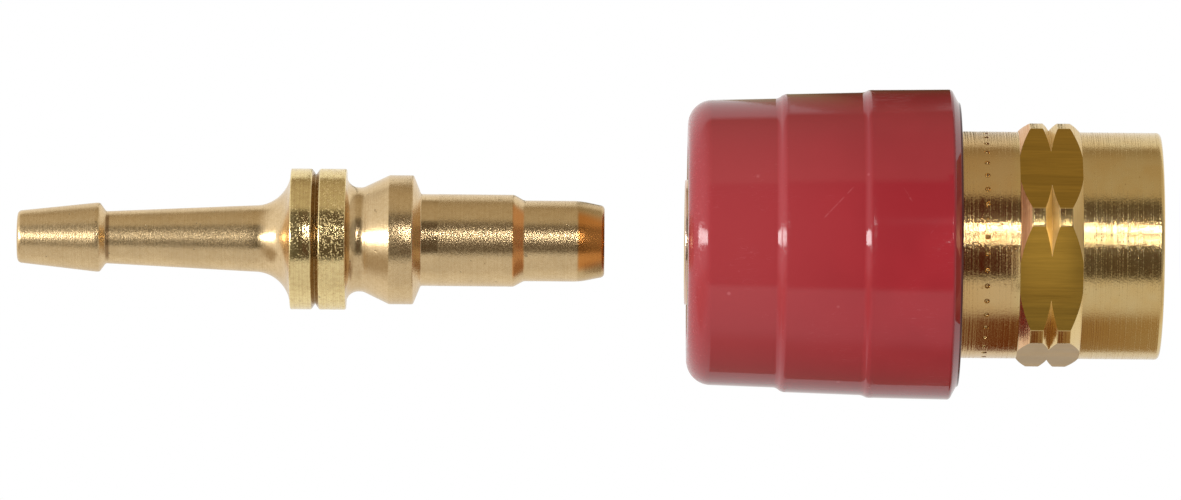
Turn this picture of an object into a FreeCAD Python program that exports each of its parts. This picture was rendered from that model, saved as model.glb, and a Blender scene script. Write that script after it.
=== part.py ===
import FreeCAD, Part
import math
import os

# Gas hose coupling: a probe with a hose tail, and the spring-loaded socket that it plugs into.
# Sizes are in millimetres. Both halves are turned about the X axis. Places along the axis are
# first measured from the socket's mouth, positive into the socket, and the finished pieces are
# then shifted so that the origin lies on the axis where the wall of the inlet thread begins.

# Fits
RUN = 0.05
SLEEVE_RUN = 0.08
BALL_PLAY = 0.03
REST_GAP = 0.02

# Share of a squeezed rubber ring's section that each rounded corner takes
SEAL_ROUNDING = 0.4

# Probe, from the hose end to the nose
BARB_TIP_R = 2.5
BARB_TIP_EDGE = 0.15
BARB_CREST_R = 3.38
BARB_CONE_LENGTH = 7.7
BARB_CREST_LENGTH = 0.35
BARB_BACK_LENGTH = 0.6
STEM_SMALL_R = 2.55
STEM_LARGE_R = 3.25
STEM_LENGTH = 14.6
COLLAR_R = 6.9
COLLAR_EDGE = 0.15
REAR_COLLAR_WIDTH = 2.06
FRONT_COLLAR_WIDTH = 2.6
COLLAR_GROOVE_WIDTH = 0.8
COLLAR_GROOVE_DEPTH = 0.58
NECK_R = 5.1
NECK_FILLET_R = 1.2
NECK_WIDTH = 0.45
LATCH_CONE_LENGTH = 2.55
RIDGE_R = 6.32
RIDGE_WIDTH = 2.35
RIDGE_FRONT_LENGTH = 0.74
SHAFT_R = 4.5
SHAFT_LENGTH = 9.1
SHAFT_STEP_LENGTH = 0.98
NOSE_R = 3.95
NOSE_LENGTH = 5.5
NOSE_TAPER_LENGTH = 2.2
NOSE_TIP_R = 3.53
NOSE_EDGE = 0.2
HOSE_BORE_R = 1.6
NOSE_BORE_R = 2.4
NOSE_BORE_DEPTH = 22.0

# How the two halves stand apart, and how close the collar comes to the mouth when coupled
PARTING = 8.1
COUPLED_GAP = 0.15

# Locking balls
BALL_R = 1.5
BALL_COUNT = 6
FIRST_BALL_ANGLE = 90
BALL_PLANE = 2.5
BALL_HOLE_PLAY = 0.04
SLEEVE_TRAVEL = 4.1

# Valve spool
HEAD_PROUD = 0.25
HEAD_PLAY = 0.08
HEAD_LENGTH = 5.2
HEAD_EDGE = 0.1
DISH_R = 5.85
SHANK_R = 6.0
SHAFT_SEAT_LENGTH = 9.8
SEAT_STEP_LENGTH = 1.0
SPOOL_GROOVE_START = 12.75
SPOOL_GROOVE_R = 5.0
PROBE_GROOVE_START = 14.85
PROBE_GROOVE_R = 5.15
SEAL_GROOVE_WIDTH = 1.3
NOSE_POCKET_END = 18.8
GAS_POCKET_R = 3.0
GAS_POCKET_END = 22.3
PORT_R = 1.25
PORT_COUNT = 4
FLANGE_START = 23.0
FLANGE_WIDTH = 2.2
FLANGE_R = 6.95
SPRING_BOSS_R = 5.6
SPRING_BOSS_LENGTH = 1.0
VALVE_SEAL_WIDTH = 0.9
VALVE_SEAL_R = 6.8
VALVE_SEAL_EDGE = 0.22

# Socket body
BARREL_R = 8.87
BARREL_LENGTH = 15.5
BARREL_EDGE = 0.3
BODY_R = 11.1
BODY_EDGE = 0.4
STOP_GROOVE_OFFSET = 0.8
STOP_GROOVE_R = 10.3
HEAD_BORE_END = 12.2
CHAMBER_R = 7.45
THREAD_MAJOR_R = 8.33
THREAD_LENGTH = 7.4
THREAD_CHAMFER = 0.6
HEX_FLATS = 22.0
HEX_CORNER_R = 12.2
HEX_WIDTH = 6.1
HEX_CHAMFER = 1.1
HEX_TURN = 13.0
HEX_NOTCH_WIDTH = 1.4
HEX_NOTCH_DEPTH = 1.0
INLET_LENGTH = 7.9

# Pieces behind the valve
VALVE_SPRING_SHORT = 3.4
VALVE_SPRING_WIRE_R = 0.42
VALVE_SPRING_MEAN_R = 6.2
VALVE_SPRING_TURNS = 3.5
SPRING_SEAT_WIDTH = 1.3
SPRING_SEAT_BORE_R = 4.0
FILTER_R = 4.6
FILTER_WIDTH = 0.7
CIRCLIP_WIDTH = 0.9
CIRCLIP_INNER_R = 6.3
CIRCLIP_OUTER_R = 7.95
CIRCLIP_GAP = 3.0
CIRCLIP_EDGE = 0.15
INLET_SEAL_WIDTH = 0.8
INLET_SEAL_BORE_R = 5.4
INLET_SEAL_EDGE = 0.2

# Grip sleeve
SLEEVE_LENGTH = 26.6
SLEEVE_FACE_R = 11.56
SLEEVE_NOSE_LENGTH = 2.35
FIRST_BAND_START_R = 13.9
FIRST_BAND_END_R = 14.17
FIRST_STEP_START = 8.5
SECOND_BAND_START_R = 14.6
SECOND_BAND_END_R = 14.84
SECOND_STEP_START = 16.95
THIRD_BAND_START_R = 15.08
THIRD_BAND_END_R = 15.2
FIRST_STEP_LENGTH = 1.15
SECOND_STEP_LENGTH = 0.95
REAR_CHAMFER_LENGTH = 0.6
REAR_FACE_R = 13.9
REAR_EDGE = 0.14
SLEEVE_LIP_R = 9.7
SLEEVE_LIP_WIDTH = 1.0

# Lock ring, spring and stop ring inside the sleeve
LOCK_RING_R = 11.0
LOCK_RELIEF_R = 9.6
LOCK_LAND_LENGTH = 3.5
SLEEVE_SPRING_WIRE_R = 0.55
SLEEVE_SPRING_MEAN_R = 9.95
SLEEVE_SPRING_TURNS = 4.0
STOP_WIRE_R = 0.6
STOP_RING_R = 11.15
STOP_RING_PLAY = 0.1
STOP_RING_GAP = 4.0

# Where the probe's latch cone and ridge lie, measured from the front face of its front collar
LATCH_CONE_START = NECK_FILLET_R + NECK_WIDTH
RIDGE_START = LATCH_CONE_START + LATCH_CONE_LENGTH
RIDGE_END = RIDGE_START + RIDGE_WIDTH
LATCH_SLOPE = (RIDGE_R - NECK_R) / LATCH_CONE_LENGTH
LATCH_ANGLE = math.atan(LATCH_SLOPE)

# How far the balls and the valve spool move, worked out from what they touch
MOUTH_BORE_R = RIDGE_R + HEAD_PLAY + RUN
HEAD_R = MOUTH_BORE_R - RUN
BALL_OUT = HEAD_R + BALL_R + REST_GAP + BALL_PLAY
BALL_ON_CONE = BALL_PLANE + COUPLED_GAP - LATCH_CONE_START
BALL_IN = NECK_R + BALL_ON_CONE * LATCH_SLOPE + (BALL_R + BALL_PLAY) / math.cos(LATCH_ANGLE)
BALL_TRAVEL = BALL_OUT - BALL_IN
DISH_SLOPE = RIDGE_FRONT_LENGTH / (RIDGE_R - SHAFT_R)
DISH_ON_RIDGE = RIDGE_END + DISH_SLOPE * (RIDGE_R - DISH_R)
VALVE_STROKE = DISH_ON_RIDGE + RUN - COUPLED_GAP + HEAD_PROUD
CAM_SLOPE = BALL_TRAVEL / VALVE_STROKE
LOCK_SLOPE = BALL_TRAVEL / SLEEVE_TRAVEL

# Places along the axis, from the mouth
VALVE_SEAT = FLANGE_START - VALVE_SEAL_WIDTH - HEAD_PROUD - REST_GAP
FLANGE_BACK = FLANGE_START + FLANGE_WIDTH - HEAD_PROUD
SPRING_SEAT = FLANGE_BACK + VALVE_STROKE + VALVE_SPRING_SHORT
CIRCLIP = SPRING_SEAT + SPRING_SEAT_WIDTH
INLET_SEAL = CIRCLIP + CIRCLIP_WIDTH
THREAD_FLOOR = INLET_SEAL + INLET_SEAL_WIDTH
THREAD_START = THREAD_FLOOR + THREAD_LENGTH
BODY_END = THREAD_START + THREAD_CHAMFER
HEX_END = BODY_END - INLET_LENGTH
HEX_START = HEX_END - HEX_WIDTH
STOP_GROOVE_START = BARREL_LENGTH + STOP_GROOVE_OFFSET
STOP_GROOVE_END = STOP_GROOVE_START + SLEEVE_TRAVEL + 2 * (STOP_WIRE_R + STOP_RING_PLAY)
STOP_RING = STOP_GROOVE_END - STOP_RING_PLAY - STOP_WIRE_R
SLEEVE_BORE_R = BODY_R + SLEEVE_RUN
LOCK_LAND_R = BARREL_R + SLEEVE_RUN
LOCK_LINE_R = BALL_OUT + (BALL_R + BALL_PLAY) / math.cos(math.atan(LOCK_SLOPE))
LOCK_RELIEF_END = BALL_PLANE - (LOCK_RELIEF_R - LOCK_LINE_R) / LOCK_SLOPE
LOCK_LAND_START = BALL_PLANE + (LOCK_LINE_R - LOCK_LAND_R) / LOCK_SLOPE
LOCK_RING_END = LOCK_LAND_START + LOCK_LAND_LENGTH

AXIS_START = FreeCAD.Vector(0, 0, 0)
ALONG = FreeCAD.Vector(1, 0, 0)


def spot(x, r):
    return FreeCAD.Vector(x, 0, r)


def turned(outline):
    """Turn a closed outline about X. A corner is (x, r), and a corner that is reached
    along an arc is (x, r, x on the arc, r on the arc)."""
    edges = []
    for start, end in zip(outline, outline[1:] + outline[:1]):
        here = spot(start[0], start[1])
        there = spot(end[0], end[1])
        if len(end) == 4:
            edges.append(Part.Arc(here, spot(end[2], end[3]), there).toShape())
        else:
            edges.append(Part.LineSegment(here, there).toShape())
    return Part.Face(Part.Wire(edges)).revolve(AXIS_START, ALONG, 360)


def arc_to(x, r, centre_x, centre_r, radius, degrees):
    """A corner at (x, r) reached along an arc that passes its centre at the given angle."""
    angle = math.radians(degrees)
    return (x, r, centre_x + radius * math.cos(angle), centre_r + radius * math.sin(angle))


def soft_step(x, r, length, rise):
    """Two arcs that lead from a level line up to a higher one, without a sharp edge."""
    half = length / 2
    radius = (half ** 2 + (rise / 2) ** 2) / rise
    lean = math.asin(half / radius) / 2
    along = radius * math.sin(lean)
    up = radius * (1 - math.cos(lean))
    middle = (x + half, r + rise / 2, x + along, r + up)
    top = (x + length, r + rise, x + length - along, r + rise - up)
    return [middle, top]


def ring(x, width, inner_r, outer_r, edge):
    """A ring of rectangular section whose outer edges are rounded off."""
    end = x + width
    bevel = edge * (1 - math.sqrt(0.5))
    return turned([
        (x, inner_r),
        (x, outer_r - edge),
        (x + edge, outer_r, x + bevel, outer_r - bevel),
        (end - edge, outer_r),
        (end, outer_r - edge, end - bevel, outer_r - bevel),
        (end, inner_r),
    ])


def seal_ring(x, width, inner_r, outer_r):
    """A rubber ring squeezed between two walls: flat on both, and round at its sides."""
    edge = SEAL_ROUNDING * min(width, outer_r - inner_r)
    bevel = edge * (1 - math.sqrt(0.5))
    end = x + width
    return turned([
        (x, inner_r + edge, x + bevel, inner_r + bevel),
        (x, outer_r - edge),
        (x + edge, outer_r, x + bevel, outer_r - bevel),
        (end - edge, outer_r),
        (end, outer_r - edge, end - bevel, outer_r - bevel),
        (end, inner_r + edge),
        (end - edge, inner_r, end - bevel, inner_r + bevel),
        (x + edge, inner_r),
    ])


def coil_spring(x, end, mean_r, wire_r, turns):
    """A compression spring with ground ends."""
    length = end - x
    helix = Part.makeHelix(length / turns, length, mean_r)
    section = Part.Wire(Part.makeCircle(wire_r, FreeCAD.Vector(mean_r, 0, 0), FreeCAD.Vector(0, 1, 0)))
    coil = Part.Wire(helix).makePipeShell([section], True, True)
    coil.rotate(AXIS_START, FreeCAD.Vector(0, 1, 0), 90)
    coil.translate(FreeCAD.Vector(x, 0, 0))
    between_faces = Part.makeCylinder(mean_r + 2 * wire_r, length, spot(x, 0), ALONG)
    return coil.common(between_faces)


def around(degrees):
    """A unit vector square to the axis: 0 points to the viewer's side, 90 points up."""
    angle = math.radians(degrees)
    return FreeCAD.Vector(0, -math.cos(angle), math.sin(angle))


def open_gap(shape, x, width, reach, gap):
    """Cut a gap through the lowest side of a ring."""
    start = FreeCAD.Vector(x - width, -gap / 2, -reach)
    return shape.cut(Part.makeBox(3 * width, gap, reach, start))


def probe():
    tail_end = -PARTING - probe_length()
    crest = tail_end + BARB_CONE_LENGTH
    back = crest + BARB_CREST_LENGTH
    stem = back + BARB_BACK_LENGTH
    flare = stem + STEM_LENGTH
    flare_r = COLLAR_R - COLLAR_EDGE - STEM_LARGE_R
    rear_collar = flare + flare_r
    groove = rear_collar + REAR_COLLAR_WIDTH
    front_collar = groove + COLLAR_GROOVE_WIDTH
    face = front_collar + FRONT_COLLAR_WIDTH
    neck = face + NECK_FILLET_R
    cone = neck + NECK_WIDTH
    ridge = cone + LATCH_CONE_LENGTH
    ridge_end = ridge + RIDGE_WIDTH
    shaft = ridge_end + RIDGE_FRONT_LENGTH
    step = shaft + SHAFT_LENGTH
    nose = step + SHAFT_STEP_LENGTH
    taper = nose + NOSE_LENGTH
    tip = taper + NOSE_TAPER_LENGTH
    nose_end = tip + NOSE_EDGE
    bore_step = nose_end - NOSE_BORE_DEPTH
    return turned([
        (tail_end, HOSE_BORE_R),
        (tail_end, BARB_TIP_R - BARB_TIP_EDGE),
        (tail_end + BARB_TIP_EDGE, BARB_TIP_R),
        (crest, BARB_CREST_R),
        (back, BARB_CREST_R),
        (stem, STEM_SMALL_R),
        (flare, STEM_LARGE_R),
        arc_to(rear_collar, STEM_LARGE_R + flare_r, flare, STEM_LARGE_R + flare_r, flare_r, -45),
        (rear_collar + COLLAR_EDGE, COLLAR_R),
        (groove, COLLAR_R),
        (groove + COLLAR_GROOVE_WIDTH / 2, COLLAR_R - COLLAR_GROOVE_DEPTH),
        (front_collar, COLLAR_R),
        (face - COLLAR_EDGE, COLLAR_R),
        (face, COLLAR_R - COLLAR_EDGE),
        (face, NECK_R + NECK_FILLET_R),
        arc_to(neck, NECK_R, neck, NECK_R + NECK_FILLET_R, NECK_FILLET_R, -135),
        (cone, NECK_R),
        (ridge, RIDGE_R),
        (ridge_end, RIDGE_R),
        (shaft, SHAFT_R),
        (step, SHAFT_R),
        (nose, NOSE_R),
        (taper, NOSE_R),
        (tip, NOSE_TIP_R),
        (nose_end, NOSE_TIP_R - NOSE_EDGE),
        (nose_end, NOSE_BORE_R),
        (bore_step, NOSE_BORE_R),
        (bore_step - (NOSE_BORE_R - HOSE_BORE_R), HOSE_BORE_R),
    ])


def probe_length():
    tail = BARB_CONE_LENGTH + BARB_CREST_LENGTH + BARB_BACK_LENGTH + STEM_LENGTH
    flare = COLLAR_R - COLLAR_EDGE - STEM_LARGE_R
    collars = REAR_COLLAR_WIDTH + COLLAR_GROOVE_WIDTH + FRONT_COLLAR_WIDTH
    return tail + flare + collars + probe_reach()


def probe_reach():
    """From the front face of the front collar to the end of the nose."""
    nose = NOSE_LENGTH + NOSE_TAPER_LENGTH + NOSE_EDGE
    return RIDGE_END + RIDGE_FRONT_LENGTH + SHAFT_LENGTH + SHAFT_STEP_LENGTH + nose


def socket_body():
    notch = (HEX_START + HEX_END) / 2
    body = turned([
        (0, MOUTH_BORE_R),
        (0, BARREL_R - BARREL_EDGE),
        (BARREL_EDGE, BARREL_R),
        (BARREL_LENGTH, BARREL_R),
        (BARREL_LENGTH, BODY_R - BARREL_EDGE),
        (BARREL_LENGTH + BARREL_EDGE, BODY_R),
        (STOP_GROOVE_START, BODY_R),
        (STOP_GROOVE_START, STOP_GROOVE_R),
        (STOP_GROOVE_END, STOP_GROOVE_R),
        (STOP_GROOVE_END, BODY_R),
        (HEX_START, BODY_R),
        (HEX_START + HEX_CHAMFER, HEX_CORNER_R),
        (notch - HEX_NOTCH_WIDTH / 2, HEX_CORNER_R),
        (notch, HEX_CORNER_R - HEX_NOTCH_DEPTH),
        (notch + HEX_NOTCH_WIDTH / 2, HEX_CORNER_R),
        (HEX_END - HEX_CHAMFER, HEX_CORNER_R),
        (HEX_END, BODY_R),
        (BODY_END - BODY_EDGE, BODY_R),
        arc_to(BODY_END, BODY_R - BODY_EDGE, BODY_END - BODY_EDGE, BODY_R - BODY_EDGE, BODY_EDGE, 45),
        (BODY_END, THREAD_MAJOR_R + THREAD_CHAMFER),
        (THREAD_START, THREAD_MAJOR_R),
        (THREAD_FLOOR, THREAD_MAJOR_R),
        (THREAD_FLOOR, CHAMBER_R),
        (INLET_SEAL, CHAMBER_R),
        (INLET_SEAL, CIRCLIP_OUTER_R),
        (CIRCLIP, CIRCLIP_OUTER_R),
        (CIRCLIP, CHAMBER_R),
        (VALVE_SEAT, CHAMBER_R),
        (VALVE_SEAT, SHANK_R + RUN),
        (HEAD_BORE_END, SHANK_R + RUN),
        (HEAD_BORE_END, MOUTH_BORE_R),
    ])
    for index in range(6):
        out = around(HEX_TURN + 30 + 60 * index)
        flat = Part.makeBox(HEX_WIDTH, 2 * HEX_FLATS, HEX_FLATS)
        flat.translate(FreeCAD.Vector(HEX_START, -HEX_FLATS, HEX_FLATS / 2))
        turn = math.degrees(math.atan2(-out.y, out.z))
        flat.rotate(AXIS_START, ALONG, turn)
        body = body.cut(flat)
    for index in range(BALL_COUNT):
        body = body.cut(ball_hole(index))
    return body


def ball_angle(index):
    return FIRST_BALL_ANGLE + 360 / BALL_COUNT * index


def ball_hole(index):
    start = spot(BALL_PLANE, 0)
    return Part.makeCylinder(BALL_R + BALL_HOLE_PLAY, 2 * BARREL_R, start, around(ball_angle(index)))


def lock_ball(index):
    return Part.makeSphere(BALL_R, spot(BALL_PLANE, 0) + around(ball_angle(index)) * BALL_OUT)


def valve_spool():
    cam_end = BALL_PLANE + HEAD_PROUD + BALL_R * math.sin(math.atan(CAM_SLOPE))
    cam_start_r = HEAD_R - cam_end * CAM_SLOPE
    shaft_r = SHAFT_R + RUN
    nose_r = NOSE_R + RUN
    flange_end = FLANGE_START + FLANGE_WIDTH
    outline = [
        (0, DISH_R),
        (0, cam_start_r - HEAD_EDGE),
        (HEAD_EDGE, cam_start_r),
        (cam_end, HEAD_R),
        (HEAD_LENGTH, HEAD_R),
        (HEAD_LENGTH, SHANK_R),
        (SPOOL_GROOVE_START, SHANK_R),
        (SPOOL_GROOVE_START, SPOOL_GROOVE_R),
        (SPOOL_GROOVE_START + SEAL_GROOVE_WIDTH, SPOOL_GROOVE_R),
        (SPOOL_GROOVE_START + SEAL_GROOVE_WIDTH, SHANK_R),
        (FLANGE_START, SHANK_R),
        (FLANGE_START, FLANGE_R),
        (flange_end, FLANGE_R),
        (flange_end, SPRING_BOSS_R),
        (flange_end + SPRING_BOSS_LENGTH, SPRING_BOSS_R),
        (flange_end + SPRING_BOSS_LENGTH, 0),
        (GAS_POCKET_END, 0),
        (GAS_POCKET_END, GAS_POCKET_R),
        (NOSE_POCKET_END, GAS_POCKET_R),
        (NOSE_POCKET_END, nose_r),
        (PROBE_GROOVE_START + SEAL_GROOVE_WIDTH, nose_r),
        (PROBE_GROOVE_START + SEAL_GROOVE_WIDTH, PROBE_GROOVE_R),
        (PROBE_GROOVE_START, PROBE_GROOVE_R),
        (PROBE_GROOVE_START, nose_r),
        (SHAFT_SEAT_LENGTH + SEAT_STEP_LENGTH, nose_r),
        (SHAFT_SEAT_LENGTH, shaft_r),
        (DISH_SLOPE * (DISH_R - shaft_r), shaft_r),
    ]
    spool = turned([(x - HEAD_PROUD, r) for x, r in outline])
    port_x = (NOSE_POCKET_END + GAS_POCKET_END) / 2 - HEAD_PROUD
    for index in range(PORT_COUNT):
        out = around(360 / PORT_COUNT * index)
        spool = spool.cut(Part.makeCylinder(PORT_R, 2 * SHANK_R, spot(port_x, 0), out))
    return spool


def valve_seal():
    start = FLANGE_START - VALVE_SEAL_WIDTH - HEAD_PROUD
    return ring(start, VALVE_SEAL_WIDTH, SHANK_R, VALVE_SEAL_R, VALVE_SEAL_EDGE)


def spool_o_ring():
    start = SPOOL_GROOVE_START - HEAD_PROUD
    return seal_ring(start, SEAL_GROOVE_WIDTH, SPOOL_GROOVE_R, SHANK_R + RUN - REST_GAP)


def probe_o_ring():
    start = PROBE_GROOVE_START - HEAD_PROUD
    return seal_ring(start, SEAL_GROOVE_WIDTH, NOSE_R + REST_GAP, PROBE_GROOVE_R)


def valve_spring():
    return coil_spring(
        FLANGE_BACK, SPRING_SEAT, VALVE_SPRING_MEAN_R, VALVE_SPRING_WIRE_R, VALVE_SPRING_TURNS
    )


def spring_seat():
    back = SPRING_SEAT + SPRING_SEAT_WIDTH
    return turned([
        (SPRING_SEAT, SPRING_SEAT_BORE_R),
        (SPRING_SEAT, CHAMBER_R - RUN),
        (back, CHAMBER_R - RUN),
        (back, FILTER_R),
        (back - FILTER_WIDTH, FILTER_R),
        (back - FILTER_WIDTH, SPRING_SEAT_BORE_R),
    ])


def inlet_filter():
    back = SPRING_SEAT + SPRING_SEAT_WIDTH
    return Part.makeCylinder(FILTER_R, FILTER_WIDTH, spot(back - FILTER_WIDTH, 0), ALONG)


def seat_circlip():
    whole = ring(CIRCLIP, CIRCLIP_WIDTH, CIRCLIP_INNER_R, CIRCLIP_OUTER_R, CIRCLIP_EDGE)
    return open_gap(whole, CIRCLIP, CIRCLIP_WIDTH, CIRCLIP_OUTER_R * 2, CIRCLIP_GAP)


def inlet_seal():
    return ring(INLET_SEAL, INLET_SEAL_WIDTH, INLET_SEAL_BORE_R, CHAMBER_R - RUN, INLET_SEAL_EDGE)


def grip_sleeve():
    nose_rise = FIRST_BAND_START_R - SLEEVE_FACE_R
    first_rise = SECOND_BAND_START_R - FIRST_BAND_END_R
    second_rise = THIRD_BAND_START_R - SECOND_BAND_END_R
    chamfer_start = SLEEVE_LENGTH - REAR_EDGE - REAR_CHAMFER_LENGTH
    groove_half = STOP_WIRE_R
    groove_r = STOP_RING_R + STOP_WIRE_R
    nose_mid_x = SLEEVE_NOSE_LENGTH * (1 - math.sqrt(0.5))
    nose_mid_r = SLEEVE_FACE_R + nose_rise * math.sqrt(0.5)
    outer = [
        (0, SLEEVE_LIP_R),
        (0, SLEEVE_FACE_R),
        (SLEEVE_NOSE_LENGTH, FIRST_BAND_START_R, nose_mid_x, nose_mid_r),
        (FIRST_STEP_START, FIRST_BAND_END_R),
    ]
    outer += soft_step(FIRST_STEP_START, FIRST_BAND_END_R, FIRST_STEP_LENGTH, first_rise)
    outer.append((SECOND_STEP_START, SECOND_BAND_END_R))
    outer += soft_step(SECOND_STEP_START, SECOND_BAND_END_R, SECOND_STEP_LENGTH, second_rise)
    inner = [
        (chamfer_start, THIRD_BAND_END_R),
        (SLEEVE_LENGTH - REAR_EDGE, REAR_FACE_R),
        (SLEEVE_LENGTH, REAR_FACE_R - REAR_EDGE),
        (SLEEVE_LENGTH, SLEEVE_BORE_R + REAR_EDGE),
        (SLEEVE_LENGTH - REAR_EDGE, SLEEVE_BORE_R),
        (STOP_RING + groove_half, SLEEVE_BORE_R),
        (STOP_RING + groove_half, groove_r),
        (STOP_RING - groove_half, groove_r),
        (STOP_RING - groove_half, SLEEVE_BORE_R),
        (LOCK_RING_END, SLEEVE_BORE_R),
        (LOCK_RING_END, LOCK_RING_R),
        (SLEEVE_LIP_WIDTH, LOCK_RING_R),
        (SLEEVE_LIP_WIDTH, SLEEVE_LIP_R),
    ]
    return turned(outer + inner)


def lock_ring():
    return turned([
        (SLEEVE_LIP_WIDTH, LOCK_RELIEF_R),
        (SLEEVE_LIP_WIDTH, LOCK_RING_R),
        (LOCK_RING_END, LOCK_RING_R),
        (LOCK_RING_END, LOCK_LAND_R),
        (LOCK_LAND_START, LOCK_LAND_R),
        (LOCK_RELIEF_END, LOCK_RELIEF_R),
    ])


def sleeve_spring():
    return coil_spring(
        LOCK_RING_END, BARREL_LENGTH, SLEEVE_SPRING_MEAN_R, SLEEVE_SPRING_WIRE_R, SLEEVE_SPRING_TURNS
    )


def sleeve_stop_ring():
    whole = Part.makeTorus(STOP_RING_R, STOP_WIRE_R, spot(STOP_RING, 0), ALONG)
    return open_gap(whole, STOP_RING - STOP_WIRE_R, 2 * STOP_WIRE_R, 2 * STOP_RING_R, STOP_RING_GAP)


def pieces():
    made = {
        "probe": probe(),
        "socket_body": socket_body(),
        "grip_sleeve": grip_sleeve(),
        "lock_ring": lock_ring(),
        "sleeve_spring": sleeve_spring(),
        "sleeve_stop_ring": sleeve_stop_ring(),
        "valve_spool": valve_spool(),
        "valve_seal": valve_seal(),
        "spool_o_ring": spool_o_ring(),
        "probe_o_ring": probe_o_ring(),
        "valve_spring": valve_spring(),
        "spring_seat": spring_seat(),
        "inlet_filter": inlet_filter(),
        "seat_circlip": seat_circlip(),
        "inlet_seal": inlet_seal(),
    }
    for index in range(BALL_COUNT):
        made[f"lock_ball_{index + 1}"] = lock_ball(index)
    return made


os.makedirs("parts", exist_ok=True)
for name, shape in pieces().items():
    shape.translate(FreeCAD.Vector(-THREAD_START, 0, 0))
    shape.exportStep(f"parts/{name}.step")
    print(f"{name}: {len(shape.Solids)} solid, valid {shape.isValid()}, {shape.Volume:.1f} mm3")
insert = PARTING + probe_reach() - COUPLED_GAP - VALVE_STROKE
print(f"probe to the spool {insert:.3f}, valve stroke {VALVE_STROKE:.3f}, ball travel {BALL_TRAVEL:.3f}")
print(f"mouth at x {-THREAD_START:.3f}, body end at x {BODY_END - THREAD_START:.3f}")
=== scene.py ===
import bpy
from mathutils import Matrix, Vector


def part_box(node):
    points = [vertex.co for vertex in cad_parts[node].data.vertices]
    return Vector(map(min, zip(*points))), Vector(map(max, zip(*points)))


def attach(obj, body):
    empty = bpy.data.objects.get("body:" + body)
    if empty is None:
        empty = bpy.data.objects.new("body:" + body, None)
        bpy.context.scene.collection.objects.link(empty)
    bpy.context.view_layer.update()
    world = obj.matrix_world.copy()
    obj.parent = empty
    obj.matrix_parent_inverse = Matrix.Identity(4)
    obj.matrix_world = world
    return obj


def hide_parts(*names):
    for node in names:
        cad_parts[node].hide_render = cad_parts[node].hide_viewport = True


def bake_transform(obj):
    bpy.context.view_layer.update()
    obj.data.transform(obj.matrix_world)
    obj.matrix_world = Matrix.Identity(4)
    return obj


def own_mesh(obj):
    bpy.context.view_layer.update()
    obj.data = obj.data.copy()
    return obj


bl_info = {
    "name": "Gas Hose Coupling",
    "version": (1, 0, 0),
    "blender": (4, 5, 0),
    "location": "View3D > Sidebar > Coupling",
    "description": "Turns, mills and finishes a brass gas hose coupling with a red grip sleeve",
    "category": "Add Mesh",
}

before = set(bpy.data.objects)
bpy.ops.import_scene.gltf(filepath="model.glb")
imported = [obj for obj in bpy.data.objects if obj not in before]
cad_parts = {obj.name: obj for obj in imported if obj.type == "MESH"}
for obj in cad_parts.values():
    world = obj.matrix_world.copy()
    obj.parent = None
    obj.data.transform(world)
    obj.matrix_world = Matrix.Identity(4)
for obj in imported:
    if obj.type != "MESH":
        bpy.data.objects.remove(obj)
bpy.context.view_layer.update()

import math

import bmesh
import bpy
from mathutils import Vector

MM = 0.001

PROBE_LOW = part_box("probe")[0]
SOCKET_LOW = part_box("socket_body")[0]
SPOOL_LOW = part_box("valve_spool")[0]
SLEEVE_LOW, SLEEVE_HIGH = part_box("grip_sleeve")
BALL_LOW, BALL_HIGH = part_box("lock_ball_1")
VALVE_SPRING_LOW, VALVE_SPRING_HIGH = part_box("valve_spring")
SLEEVE_SPRING_LOW, SLEEVE_SPRING_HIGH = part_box("sleeve_spring")

# Outlines are rows of (place along the axis, radius, rounding, steps in the rounding), in
# millimetres. Each place is counted from the piece's own front end.
PROBE_OUTLINE = (
    (0.00, 1.60, 0.12, 3),
    (0.00, 2.53, 0.38, 6),
    (7.70, 3.38, 0.10, 3),
    (8.05, 3.38, 0.14, 4),
    (8.65, 2.55, 0.14, 4),
    (26.75, 3.42, 3.30, 28),
    (26.75, 6.90, 0.14, 4),
    (28.81, 6.90, 0.10, 3),
    (29.21, 6.32, 0.06, 3),
    (29.61, 6.90, 0.10, 3),
    (32.21, 6.90, 0.16, 4),
    (32.21, 5.10, 1.20, 12),
    (33.86, 5.10, 0.22, 4),
    (36.41, 6.32, 0.10, 3),
    (38.76, 6.32, 0.14, 4),
    (39.50, 4.50, 0.10, 3),
    (48.60, 4.50, 0.16, 4),
    (49.58, 3.95, 0.16, 4),
    (55.08, 3.95, 0.60, 5),
    (57.48, 3.46, 0.34, 6),
    (57.48, 2.40, 0.16, 4),
    (35.48, 2.40, 0.00, 0),
    (34.68, 1.60, 0.00, 0),
)
SOCKET_OUTLINE = (
    (0.000, 6.45, 0.10, 3),
    (0.000, 8.87, 0.28, 4),
    (15.500, 8.87, 0.00, 0),
    (15.500, 11.10, 0.28, 4),
    (16.300, 11.10, 0.00, 0),
    (16.300, 10.30, 0.00, 0),
    (21.800, 10.30, 0.00, 0),
    (21.800, 11.10, 0.00, 0),
    (32.241, 11.10, 0.00, 0),
    (33.341, 12.20, 0.06, 3),
    (34.591, 12.20, 0.06, 3),
    (35.291, 11.20, 0.05, 3),
    (35.991, 12.20, 0.06, 3),
    (37.241, 12.20, 0.06, 3),
    (38.341, 11.10, 0.00, 0),
    (46.241, 11.10, 0.42, 6),
    (46.241, 8.93, 0.06, 3),
    (45.641, 8.33, 0.05, 3),
    (38.241, 8.33, 0.00, 0),
    (38.241, 7.45, 0.05, 3),
    (37.441, 7.45, 0.00, 0),
    (37.441, 7.95, 0.00, 0),
    (36.541, 7.95, 0.00, 0),
    (36.541, 7.45, 0.00, 0),
    (21.830, 7.45, 0.00, 0),
    (21.830, 6.05, 0.10, 3),
    (12.200, 6.05, 0.00, 0),
    (12.200, 6.45, 0.00, 0),
)
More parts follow.
